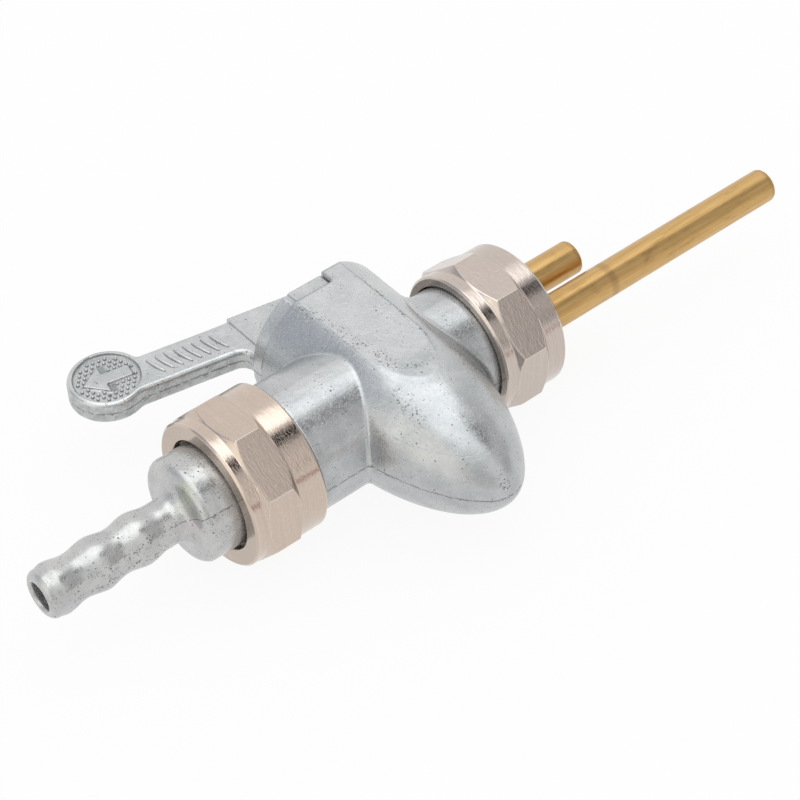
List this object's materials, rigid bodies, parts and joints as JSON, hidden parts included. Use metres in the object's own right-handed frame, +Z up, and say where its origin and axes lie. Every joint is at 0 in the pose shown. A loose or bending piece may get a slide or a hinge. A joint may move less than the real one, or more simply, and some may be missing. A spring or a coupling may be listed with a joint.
{
  "type": "fuel tap",
  "caption": "Plug-type fuel tap with a lever, union nuts towards tank and hose, a barbed hose nozzle and a long and a short brass standpipe.",
  "frame": {"origin": "on the pipe axis, at the outer face of the tank gasket, where the tank's stub seats", "axes": "+X along the pipe axis into the tank, +Y along the plug axis from nose to lever, +Z up as it lies"},
  "size_m": [0.1577, 0.0713, 0.0278],
  "materials": {
    "zinc_casting": "satin die casting",
    "nickel_plate": "bright nickel plating",
    "brass_tube": "drawn, a little tarnished",
    "turned_brass": "turned",
    "black_rubber": "matte",
    "fibre_gasket": "pressed fibre, matte",
    "spring_steel": "bright"
  },
  "bodies": {
    "tap": {"tap_body": "zinc_casting", "main_standpipe": "brass_tube", "reserve_standpipe": "brass_tube", "tank_gasket": "fibre_gasket", "nozzle_gasket": "fibre_gasket", "plug_sleeve": "black_rubber", "gland_ring": "turned_brass", "thrust_washer": "spring_steel", "plug_spring": "spring_steel", "shaft_o_ring": "black_rubber"},
    "lever": {"lever": "zinc_casting", "lever_pin": "spring_steel", "valve_plug": "turned_brass"},
    "tank_nut": {"tank_union_nut": "nickel_plate"},
    "outlet_nut": {"outlet_union_nut": "nickel_plate"},
    "nozzle": {"hose_nozzle": "zinc_casting"}
  },
  "joints": [
    {"name": "lever_turn", "type": "hinge", "parent": "tap", "child": "lever", "pos_m": [-0.0236, 0, 0], "axis": [0, 1, 0], "range_deg": [-180, 0]},
    {"name": "tank_nut_turn", "type": "hinge", "parent": "tap", "child": "tank_nut", "pos_m": [-0.0046, 0, 0], "axis": [1, 0, 0], "continuous": true},
    {"name": "outlet_nut_turn", "type": "hinge", "parent": "tap", "child": "outlet_nut", "pos_m": [-0.0506, 0, 0], "axis": [1, 0, 0], "continuous": true},
    {"name": "nozzle_swivel", "type": "hinge", "parent": "tap", "child": "nozzle", "pos_m": [-0.0572, 0, 0], "axis": [1, 0, 0], "continuous": true}
  ]
}
